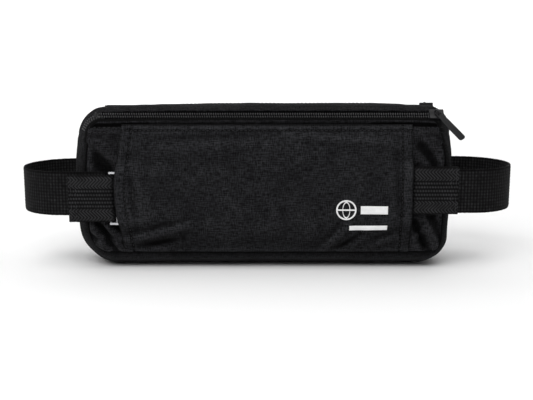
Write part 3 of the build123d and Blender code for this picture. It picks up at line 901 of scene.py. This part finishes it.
def make_binding(name, way, node):
    """Binding over a seam's raw edges, inside the bag."""
    y = way * (HALF_DEPTH - BINDING_DEPTH)
    draw_in = BEVEL * (1 - BINDING_DEPTH / HALF_DEPTH) ** BEVEL_POWER + 2.0
    walk = (("base", 0, 1), ("right", 0, 1), ("top", 1, 0), ("left", 1, 0))
    rings = []
    for inset in (draw_in, draw_in + BINDING_W / 2, draw_in + BINDING_W):
        ring = []
        for side, t0, t1 in walk:
            x, z = outline_side(side, np.linspace(t0, t1, 70)[1:], inset)
            ring.append(np.stack((x, np.full(x.shape, y), z), axis=-1))
        rings.append(np.concatenate(ring))
    points = draw_sides(np.array(rings))
    obj = new_sheet(name, points, BINDING, wrap=True)
    place(outward(thicken(obj, BINDING_T)), "bag", "binding", node)


# ---- sleeve

def sleeve_edge(z, way):
    """Where the sleeve's left (way -1) or right (way 1) edge lies at a height."""
    rise = (z - SLEEVE_LOW) / (SLEEVE_HIGH - SLEEVE_LOW)
    bow = np.sin(math.pi * rise)
    if way < 0:
        return SLEEVE_LEFT + 2.6 - 4.4 * bow + 0.5 * np.sin(9 * rise)
    return SLEEVE_RIGHT - 0.6 + 0.6 * bow


def sleeve_points(a, b):
    """Points on the sleeve: a across from 0 to 1, b up from 0 to 1."""
    z = SLEEVE_FOOT + b * (SLEEVE_HIGH - SLEEVE_FOOT)
    left, right = sleeve_edge(z, -1), sleeve_edge(z, 1)
    x = left + a * (right - left)
    up = np.clip((SLEEVE_HIGH - z) / 15, 0, 1)
    down = np.clip((z - SLEEVE_FOOT) / 23, 0, 1)
    rise = np.sin(up * math.pi / 2) ** 0.8 * np.sin(down * math.pi / 2) ** 0.75
    web = np.exp(-(((z - WEB_MID_Z) / 21) ** 6))
    hem = np.minimum(x - left, right - x)
    near_edge = bell(hem, 20)
    full = -(SLEEVE_Y + HALF_DEPTH) - 0.4
    stand = full * (1 - 0.5 * near_edge * (1 - web)) + (0.7 + 0.9 * (x < 0)) * web * near_edge
    points = np.stack((x, np.zeros(x.shape), z), axis=-1)
    ripple = 0.9 * cloth_noise(points, 30.0, 31) + 0.4 * cloth_noise(points, 9.0, 33)
    ripple = (ripple - 0.9 * (1 - near_edge)) * (1 - web * near_edge)
    lift = 0.55 + rise * (stand - 0.55 + ripple) + fold_field(x, z, SLEEVE_FOLDS) * rise
    lift = np.maximum(lift, 0.5) - 1.6 * bell(z - SLEEVE_FOOT, 1.5)
    lift += 0.6 * bell(hem - HEM_W / 2, 2.8) - 0.5 * bell(hem, 0.9)
    lift -= 0.55 * bell(hem - HEM_W, 0.7)
    top = SLEEVE_HIGH - z
    lift -= 0.45 * bell(top - SLEEVE_TOP_ROWS[1], 0.6) - 0.3 * bell(top - 1.9, 1.2)
    points[..., 1] = -HALF_DEPTH - lift
    return points


def make_sleeve():
    """Front sleeve panel with turned hems down both open sides."""
    a, b = np.meshgrid(spaced(SLEEVE_GRID[0], 0.45), spaced(SLEEVE_GRID[1]), indexing="ij")
    points = sleeve_points(a, b)
    z = points[..., 2]
    # painted shade: folds darker in their hollows, the sleeve darker towards the bottom where it curls under,
    # and a dark line at its foot
    tone = fold_painted_shade(points) - 0.36 * smooth(36 - z, 0, 24) - 0.85 * bell(z - SLEEVE_FOOT, 1.4)
    obj = new_sheet("front_sleeve_panel", points, SLEEVE, rise=tone, threads=points[..., (0, 2)])
    return place(thicken(obj, CLOTH_T), "bag", "shell_fabric", "front_sleeve")


def on_sleeve(x, z, proud=0.0):
    """The sleeve's surface at a place, standing proud by a little."""
    b = (np.asarray(z, float) - SLEEVE_FOOT) / (SLEEVE_HIGH - SLEEVE_FOOT)
    left, right = sleeve_edge(np.asarray(z, float), -1), sleeve_edge(np.asarray(z, float), 1)
    a = (np.asarray(x, float) - left) / (right - left)
    points = sleeve_points(a, b)
    points[..., 1] -= proud
    return points


# ---- rows of stitches and teeth

def row_tree(material, name):
    """Node tree that lays a rounded bead at every pitch along a path."""
    tree = bpy.data.node_groups.new(name, "GeometryNodeTree")
    tree.interface.new_socket("Path", in_out="INPUT", socket_type="NodeSocketGeometry")
    for label in ("Pitch", "Long", "Wide", "Tall"):
        tree.interface.new_socket(label, in_out="INPUT", socket_type="NodeSocketFloat")
    tree.interface.new_socket("Facing", in_out="INPUT", socket_type="NodeSocketVector")
    tree.interface.new_socket("Row", in_out="OUTPUT", socket_type="NodeSocketGeometry")
    nodes = tree.nodes
    given = add(nodes, "NodeGroupInput")
    result = add(nodes, "NodeGroupOutput")
    curve = add(nodes, "GeometryNodeMeshToCurve")
    steps = add(nodes, "GeometryNodeResampleCurve", mode="LENGTH")
    tangent = add(nodes, "GeometryNodeInputTangent")
    along = add(nodes, "FunctionNodeAlignRotationToVector", axis="X")
    facing = add(nodes, "FunctionNodeAlignRotationToVector", axis="Z", pivot_axis="X")
    bead = add(nodes, "GeometryNodeMeshUVSphere", Segments=8, Rings=5, Radius=0.5)
    size = add(nodes, "ShaderNodeCombineXYZ")
    put = add(nodes, "GeometryNodeInstanceOnPoints")
    real = add(nodes, "GeometryNodeRealizeInstances")
    rounded = add(nodes, "GeometryNodeSetShadeSmooth")
    paint = add(nodes, "GeometryNodeSetMaterial", Material=material)
    for source, out, target, into in (
        (given, "Path", curve, "Mesh"),
        (curve, "Curve", steps, "Curve"),
        (given, "Pitch", steps, "Length"),
        (tangent, "Tangent", along, "Vector"),
        (along, "Rotation", facing, "Rotation"),
        (given, "Facing", facing, "Vector"),
        (given, "Long", size, "X"),
        (given, "Wide", size, "Y"),
        (given, "Tall", size, "Z"),
        (steps, "Curve", put, "Points"),
        (bead, "Mesh", put, "Instance"),
        (facing, "Rotation", put, "Rotation"),
        (size, "Vector", put, "Scale"),
        (put, "Instances", real, "Geometry"),
        (real, "Geometry", rounded, "Geometry"),
        (rounded, "Geometry", paint, "Geometry"),
        (paint, "Geometry", result, "Row"),
    ):
        tree.links.new(source.outputs[out], target.inputs[into])
    return tree


STITCH_TREE = row_tree(THREAD, "sewn_row")
TOOTH_TREE = row_tree(COIL, "toothed_row")


def lay_row(name, paths, tree, pitch, size, facing):
    """Beads along several paths in millimetres, as one plain mesh."""
    verts, edges = [], []
    for path in paths:
        start = len(verts)
        verts += [tuple(p) for p in np.asarray(path, float) * MM]
        edges += [(k, k + 1) for k in range(start, len(verts) - 1)]
    mesh = bpy.data.meshes.new(name)
    mesh.from_pydata(verts, edges, [])
    obj = new_object(name, mesh)
    grow = obj.modifiers.new("row", "NODES")
    grow.node_group = tree
    inputs = dict(zip(("Pitch", "Long", "Wide", "Tall"), (v * MM for v in (pitch, *size))))
    inputs["Facing"] = tuple(float(v) for v in facing)
    for item in tree.interface.items_tree:
        if item.name in inputs:
            grow[item.identifier] = inputs[item.name]
    return bake_modifiers(obj)


def sew(name, paths, body, facing, slot="shell_fabric"):
    """A row or rows of stitches."""
    return place(lay_row(name, paths, STITCH_TREE, STITCH_PITCH, STITCH_SIZE, facing), body, slot)


# ---- zips

def zip_drop(way):
    """How far a zip lies below the flat top, level along its whole run so that the slider rides it."""
    base = FRONT_ZIP_BASE if way < 0 else REAR_ZIP_BASE
    return float(crown_fall(CHAIN_RIGHT, base[1])) + 0.4 * (way > 0)


def zip_point(x, up, out, way=-1):
    """A place on a zip: along it, up the bevel and out of the cloth. way is -1 in front, 1 behind."""
    base = FRONT_ZIP_BASE if way < 0 else REAR_ZIP_BASE
    return base + np.array((x, -way * (up - out) * SLOPE, (up + out) * SLOPE - zip_drop(way)))


def chain_path(side, way, x0, x1, up, out):
    """Straight path of one half of a chain."""
    return [zip_point(x, up * side, out, way) for x in np.linspace(x0, x1, 40)]


def make_chain(label, way, lid_body):
    """Both halves of one zip's chain."""
    facing = (0, way * SLOPE, SLOPE)
    for side, body, part in ((-1, "bag", "lower"), (1, lid_body, "upper")):
        shift = 0.0 if side < 0 else TOOTH_PITCH / 2
        path = chain_path(side, way, CHAIN_LEFT + shift, CHAIN_RIGHT, TOOTH_MIDDLE, -TOOTH_SINK)
        row = lay_row(f"{label}_{part}_teeth", [path], TOOTH_TREE, TOOTH_PITCH, TOOTH_SIZE, facing)
        place(row, body, "zip_coil", f"{label}_zip_{part}_coil")


def make_tape(label, way, lid_body):
    """Woven tape behind each half of the chain, reaching under the cloth's edges."""
    for side, body, part, wide in ((-1, "bag", "lower", TAPE_LOWER_W), (1, lid_body, "upper", TAPE_UPPER_W)):
        ups = np.linspace(TAPE_INNER, wide, 10)
        outs = TAPE_RIPPLE * np.sin(ups * 2 * math.pi / TAPE_RIPPLE_PITCH) - TAPE_SINK
        points = np.array([
            [zip_point(x, side * up, out, way) for up, out in zip(ups, outs)]
            for x in np.linspace(CHAIN_LEFT, CHAIN_RIGHT, 120)
        ])
        obj = outward(thicken(new_sheet(f"{label}_{part}_tape", points, TAPE), TAPE_T))
        place(obj, body, "zip_tape", f"{label}_zip_{part}_tape")


def soften(node, name, width, material, slot, drop=0.0):
    """A CAD piece with its edges rounded, to stand for the plain one."""
    source = frame["nodes"][node]
    obj = new_object(name, source.data.copy())
    with mesh_of(obj) as work:
        bmesh.ops.remove_doubles(work, verts=work.verts, dist=0.004 * MM)
        bmesh.ops.dissolve_limit(work, angle_limit=math.radians(2), verts=work.verts, edges=work.edges)
    obj.data.materials.clear()
    obj.data.materials.append(material)
    bevel = obj.modifiers.new("rounding", "BEVEL")
    bevel.width = width * MM
    bevel.segments = 3
    bevel.limit_method = "ANGLE"
    bevel.angle_limit = math.radians(35)
    bevel.use_clamp_overlap = True
    bake_modifiers(obj)
    obj.data.transform(Matrix.Translation((0, 0, -drop * MM)))
    obj.data.shade_smooth()
    return place(obj, source["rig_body"], slot, node)


# ---- webbing and elastic

def along_leg(point, angle, distance, arc):
    """Place and heading a distance along a straight run or an arc of some radius and side."""
    if arc is None:
        return point + distance * np.array((math.cos(angle), math.sin(angle))), angle
    radius, side = arc
    centre = point + radius * side * np.array((-math.sin(angle), math.cos(angle)))
    turned = angle + side * distance / radius
    return centre - radius * side * np.array((-math.sin(turned), math.cos(turned))), turned


def plan_line(start, heading, moves):
    """Centre line seen from above, as a function of length: straight runs and arcs."""
    legs, total = [], 0.0
    point, angle = np.array(start, float), heading
    for kind, size, *turn in moves:
        arc = (size, math.copysign(1, *turn)) if kind == "arc" else None
        length = abs(size * turn[0]) if arc else size
        legs.append((total + length, total, point, angle, arc))
        point, angle = along_leg(point, angle, length, arc)
        total += length

    def at(s):
        _, begin, p, a, arc = next((leg for leg in legs if s <= leg[0]), legs[-1])
        return along_leg(p, a, s - begin, arc)

    return at, total


def woven_band(name, line, total, mid_z, width, thick, relief, step, material):
    """Closed woven strip along a plan line, with real ribs on both faces."""
    rows = max(int(total / step), 8)
    across = max(int(width / step), 8)
    half = width / 2
    w = np.linspace(-half, half, across)
    verts, rib_shades = [], []
    for s in np.linspace(0, total, rows):
        (px, py), angle = line(s)
        nx, ny = -math.sin(angle), math.cos(angle)
        edge = thick / 2 * np.clip((half - np.abs(w)) / 0.5 + 0.25, 0, 1) ** 0.5
        rib = relief(s, w)
        fray = 0.12 * noise.noise(Vector((s * 0.7, mid_z, 3.1)))
        for sign, order in ((1, slice(None)), (-1, slice(None, None, -1))):
            off = (sign * (edge + RIB_HEIGHT * rib))[order]
            height = (w + fray * np.sign(w) * (np.abs(w) > half - 1))[order]
            verts.append(np.stack((px + nx * off, py + ny * off, mid_z + height), axis=-1))
            # the rib height is also kept as painted shade for the yarn material
            rib_shades.append(rib[order])
    points = np.concatenate(verts)
    cols = 2 * across
    faces = grid_faces(rows, cols, wrap=True)
    faces.append(tuple(range(cols))[::-1])
    faces.append(tuple((rows - 1) * cols + k for k in range(cols)))
    obj = new_piece(name, points, faces, material, rise=np.concatenate(rib_shades))
    return outward(obj)


def waves(distance, pitch, phase=0.0):
    """Even waves between 0 and 1."""
    return 0.5 + 0.5 * np.cos(distance * 2 * math.pi / pitch + phase)


def elastic_ribs(s, w):
    """Elastic: fine crosswise ribs broken up by lengthwise cords, with a smooth selvedge."""
    cords = waves(w, ELASTIC_PITCH)
    ribs = waves(s, ELASTIC_PITCH)
    inner = np.clip((13.2 - np.abs(w)) / 0.8, 0.25, 1)
    wear_and_painted_shade = np.array([0.72 + 0.55 * noise.noise(Vector((s * 0.9, v * 0.55, 7.0))) for v in w])
    return inner * wear_and_painted_shade * (0.2 * cords + 0.8 * ribs * (0.5 + 0.5 * cords))


def webbing_ribs(s, w):
    """Webbing: herringbone side bands and a middle of dotted lengthwise rows."""
    middle = np.clip((6.6 - np.abs(w)) / 0.4, 0, 1)
    row = waves(w, WEB_ROW_PITCH)
    dots = waves(s, WEB_DOT_PITCH, math.pi * np.floor(w / WEB_ROW_PITCH + 0.5))
    chevron = np.abs(((w / WEB_CHEVRON_W) % 2) - 1) * WEB_CHEVRON_W
    twill = waves(s + chevron, WEB_TWILL_PITCH)
    inner = np.clip((14.4 - np.abs(w)) / 0.6, 0.2, 1)
    return inner * (middle * row * (0.15 + 0.85 * dots) + (1 - middle) * 0.8 * twill)


def plain_ribs(s, w):
    """Plain tight webbing."""
    return waves(s, PLAIN_RIB_PITCH) * (0.4 + 0.6 * np.cos(w * 2 * math.pi / PLAIN_ROW_PITCH) ** 2)


def folded_web(node, name, bar_x, bar_y, way, body, kind):
    """Webbing folded round an upright bar, both ends running way along X."""
    lo, hi = low(node), high(node)
    radius = (hi[1] - lo[1]) / 2 - kind["thick"] / 2
    length = bar_x - lo[0] if way < 0 else hi[0] - bar_x
    start = (bar_x + way * length, bar_y - radius)
    moves = (("run", length), ("arc", radius, -way * math.pi), ("run", length))
    line, total = plan_line(start, math.pi if way > 0 else 0.0, moves)
    return web_piece(node, name, line, total, body, kind)


def web_piece(node, name, line, total, body, kind):
    """A woven band along a line, standing for a CAD band at its height."""
    mid_z = (low(node)[2] + high(node)[2]) / 2
    size = (kind["width"], kind["thick"], kind["ribs"], kind["step"])
    return place(woven_band(name, line, total, mid_z, *size, kind["material"]), body, kind["slot"], node)


WEB_FINISH = {"material": WEBBING, "slot": "webbing"}
ELASTIC_FINISH = {"material": ELASTIC, "slot": "elastic"}
TAB_WEB = {"thick": 1.0, "width": 29.8, "ribs": webbing_ribs, "step": 0.42, **WEB_FINISH}
ANCHOR_WEB = {**TAB_WEB, "thick": 1.5, "width": 29.6, "ribs": plain_ribs, "step": 0.6}
FLAT_ANCHOR_WEB = {**ANCHOR_WEB, "thick": 1.4, "width": 29.8}
BELT_WEB = {"thick": 1.0, "width": 27.8, "ribs": elastic_ribs, "step": 0.5, **ELASTIC_FINISH}
BUCKLE_WEB = {**BELT_WEB, "width": 27.4, "step": 0.45}


# ---- building

def build_bag():
    """The sewn body."""
    panel = make_face("front_panel_cloth", -1, "front_panel")
    make_face("back_panel_cloth", 1, "back_panel")
    make_side_gusset()
    make_sleeve()
    return panel, make_top()


def build_zips():
    """Chains, tapes, sliders and pulls of both zips."""
    for label, way in (("front", -1), ("rear", 1)):
        make_chain(label, way, f"{label}_lid")
        make_tape(label, way, f"{label}_lid")
        sink = zip_drop(way)
        soften(f"{label}_zip_slider", f"{label}_slider_body", 0.28, ENAMEL, "slider_metal", sink)
        soften(f"{label}_zip_pull", f"{label}_pull", 0.22, ENAMEL, "pull_metal", sink)
        soften(f"{label}_zip_stop", f"{label}_chain_stop", 0.3, ENAMEL, "slider_metal", sink)


def build_belt():
    """Slide, webbing, elastic and buckle."""
    soften("metal_slide", "three_bar_slide", 0.3, CHROME, "chrome_slide")
    fold_r = (high("right_tab")[1] - low("right_tab")[1]) / 2
    outer_bar, inner_bar = low("metal_slide")[0] + BAR_R, high("metal_slide")[0] - BAR_R
    seam_x = low("right_tab")[0] + fold_r
    left_bar = high("left_buckle_fold")[0] - fold_r
    right_bar = low("right_buckle_fold")[0] + fold_r
    for node, name, bar_x, bar_y, way, body, kind in (
        ("left_tab", "left_webbing_tab", outer_bar, WEB_Y, -1, "left_belt", TAB_WEB),
        ("right_tab", "right_webbing_tab", seam_x, WEB_Y, 1, "right_belt", TAB_WEB),
        ("left_anchor_web", "left_anchor", inner_bar, WEB_Y, 1, "bag", ANCHOR_WEB),
        ("left_buckle_fold", "left_buckle_band", left_bar, BACK_RUN_Y, -1, "left_belt", BUCKLE_WEB),
        ("right_buckle_fold", "right_buckle_band", right_bar, BACK_RUN_Y, 1, "right_belt", BUCKLE_WEB),
    ):
        folded_web(node, name, bar_x, bar_y, way, body, kind)
    radius = (BACK_RUN_Y - WEB_Y) / 2
    left_loop_x = low("left_elastic")[0] + ELASTIC_HALF + radius
    right_loop_x = high("right_elastic")[0] - ELASTIC_HALF - radius
    for label, way, front_x, loop_x, end_x in (
        ("left", -1, outer_bar - ELASTIC_TUCK, left_loop_x, left_bar - (fold_r + BAR_R)),
        ("right", 1, seam_x + ELASTIC_TUCK, right_loop_x, right_bar + fold_r + BAR_R),
    ):
        moves = (("run", abs(loop_x - front_x)), ("arc", radius, way * math.pi), ("run", abs(end_x - loop_x)))
        line, total = plan_line((front_x, WEB_Y), math.pi if way < 0 else 0.0, moves)
        web_piece(f"{label}_elastic", f"{label}_elastic_band", line, total, f"{label}_belt", BELT_WEB)
    lo, hi = low("right_anchor_web"), high("right_anchor_web")
    line, total = plan_line((lo[0], (lo[1] + hi[1]) / 2), 0.0, (("run", hi[0] - lo[0]),))
    web_piece("right_anchor_web", "right_anchor", line, total, "bag", FLAT_ANCHOR_WEB)
    for node in ("buckle_socket", "buckle_plug", "lower_prong", "upper_prong"):
        soften(node, f"{node}_moulding", 0.45, PLASTIC, "buckle_plastic")


def build_inside():
    """The wall between the pockets and the bindings over the front and back seams."""
    make_divider()
    make_binding("front_seam_binding", -1, "front_seam_tape")
    make_binding("back_seam_binding", 1, "back_seam_tape")


def build_mark():
    """Generic printed mark that follows the sleeve's surface: a ring, a bar and a thin line."""
    lo, hi = low("printed_mark"), high("printed_mark")
    verts, faces = [], []

    def lay(x, z, turned=1):
        start = len(verts)
        verts.extend(on_sleeve(x, z, MARK_PROUD).reshape(-1, 3).tolist())
        faces.extend([tuple(start + k for k in f)[::turned] for f in grid_faces(*x.shape)])

    def patch(x0, x1, z0, z1):
        lay(*np.meshgrid(np.linspace(x0, x1, 24), np.linspace(z0, z1, 8), indexing="ij"))

    def ring(cx, cz, r0, r1, squeeze=1.0):
        angle, r = np.meshgrid(np.linspace(0, 2 * math.pi, 72), (r0, (r0 + r1) / 2, r1), indexing="ij")
        lay(cx + squeeze * r * np.cos(angle), cz + r * np.sin(angle), -1)

    r = MARK_RING_R
    cx, cz = lo[0] + r, hi[2] - r
    ring(cx, cz, r - 1.0, r)
    ring(cx, cz, r - 1.9, r - 1.0, 0.45)
    patch(cx - r + 0.6, cx + r - 0.6, cz - 0.45, cz + 0.45)
    patch(hi[0] - 17, hi[0], cz - 2.6, cz + 2.6)
    patch(hi[0] - 24, hi[0], lo[2], lo[2] + 3.0)
    obj = new_piece("printed_travel_mark", verts, faces, INK)
    place(thicken(obj, MARK_T, inward=False), "bag", "print", "printed_mark")


def end_of_chain(top, marks, rows):
    """The chain's free end, sewn down round the bag's corner past its stop."""
    last = rows[2]
    first = int(np.argmax(top[:last, marks[1], 2] > 88))
    out = np.array((-0.15, -SLOPE, SLOPE)) * 0.35
    for column, label in ((marks[1] + 2, "lower"), (marks[2] - 2, "upper")):
        path = top[first:last - 3, column] + out
        name = f"front_{label}_chain_end"
        row = lay_row(name, [path], TOOTH_TREE, TOOTH_PITCH, END_TOOTH_SIZE, (-0.3, -1, 0.7))
        place(row, "bag", "zip_coil")


def tab_rows(node, way):
    """Rows of stitches across a tab's front face, near its sewn end."""
    lo, hi = low(node), high(node)
    end_x = lo[0] if way < 0 else hi[0]
    z = np.linspace(lo[2] + 1.2, hi[2] - 1.2, 30)
    y = np.full(z.shape, lo[1] - 0.1)
    return [np.stack((np.full(z.shape, end_x - way * drop), y, z), axis=-1) for drop in TAB_ROWS]


def build_stitching(panel, top, marks, rows):
    """Topstitching on the bag, its lids, its sleeve and its tabs."""
    ahead = (0, -1, 0)
    z = np.linspace(SLEEVE_FOOT + 1, SLEEVE_HIGH - 2, 60)
    x = np.linspace(SLEEVE_LEFT + 4, SLEEVE_RIGHT - 2, 120)
    rows_front = [on_sleeve(sleeve_edge(z, -1) + HEM_W, z, 0.1), on_sleeve(sleeve_edge(z, 1) - HEM_W, z, 0.1)]
    rows_front += [on_sleeve(x, np.full(x.shape, SLEEVE_HIGH - drop), 0.1) for drop in SLEEVE_TOP_ROWS]
    sew("sleeve_topstitching", rows_front, "bag", ahead)
    sides = []
    for x0, x1 in ((-107, SLEEVE_LEFT + 1), (SLEEVE_RIGHT + 1, 112)):
        line_x = np.linspace(x0, x1, 20)
        for drop in PANEL_ROWS:
            sides.append(on_panel(panel, line_x, np.full(line_x.shape, STRIP_SEAM_Z - drop), 0.15))
    sew("panel_topstitching", sides, "bag", ahead)
    first, last, _ = rows
    for column, body, lean in ((marks[2] + 2, "front_lid", -0.8), (marks[4] - 2, "rear_lid", 0.8)):
        path = top[first + 4:last - 4, column] + np.array((0, 0.1 * lean, 0.12))
        sew(f"{body}_topstitching", [path], body, (0, lean, 1))
    sew("left_tab_stitches", tab_rows("left_tab", -1), "left_belt", ahead, slot="webbing")
    sew("right_tab_stitches", tab_rows("right_tab", 1), "right_belt", ahead, slot="webbing")
    end_of_chain(top, marks, rows)


def build_stage():
    """Pale floor that curves up behind, soft studio light and the camera."""
    turn = np.linspace(0, math.pi / 2, 17)
    y = np.concatenate(([-3.0], 1.6 + 0.9 * np.sin(turn), [2.5]))
    z = np.concatenate(([0.0], 0.9 - 0.9 * np.cos(turn), [3.6]))
    verts = [(x / MM, a / MM, b / MM) for a, b in zip(y, z) for x in (-4.0, 4.0)]
    faces = [(2 * k, 2 * k + 1, 2 * k + 3, 2 * k + 2) for k in range(len(y) - 1)]
    floor_mat = new_material("studio_floor", FLOOR_COLOR, 0.95, Specular_IOR_Level=0.0)[0]
    new_piece("studio_floor", verts, faces, floor_mat)
    world = bpy.data.worlds.new("studio")
    world.use_nodes = True
    glow = world.node_tree.nodes["Background"].inputs
    glow["Color"].default_value = (1, 1, 1, 1)
    glow["Strength"].default_value = WORLD_LIGHT
    bpy.context.scene.world = world

    for name, spot, towards, size, power in LIGHTS:
        light = bpy.data.lights.new(name, "AREA")
        light.shape = "RECTANGLE"
        light.size, light.size_y = size
        light.energy = power
        aimed(name, light, spot, towards)

    camera = bpy.data.cameras.new("camera")
    camera.sensor_width = 36
    camera.lens = CAMERA_LENS
    back = Vector((0, -math.cos(CAMERA_ELEVATION), math.sin(CAMERA_ELEVATION)))
    spot = Vector(CAMERA_AIM) + CAMERA_DISTANCE * back
    bpy.context.scene.camera = aimed("camera", camera, spot, CAMERA_AIM)
    bpy.context.scene.view_settings.view_transform = "Standard"


build_stage()
front_points, top_parts = build_bag()
build_zips()
build_belt()
build_inside()
build_mark()
build_stitching(front_points, *top_parts)

bpy.context.view_layer.update()
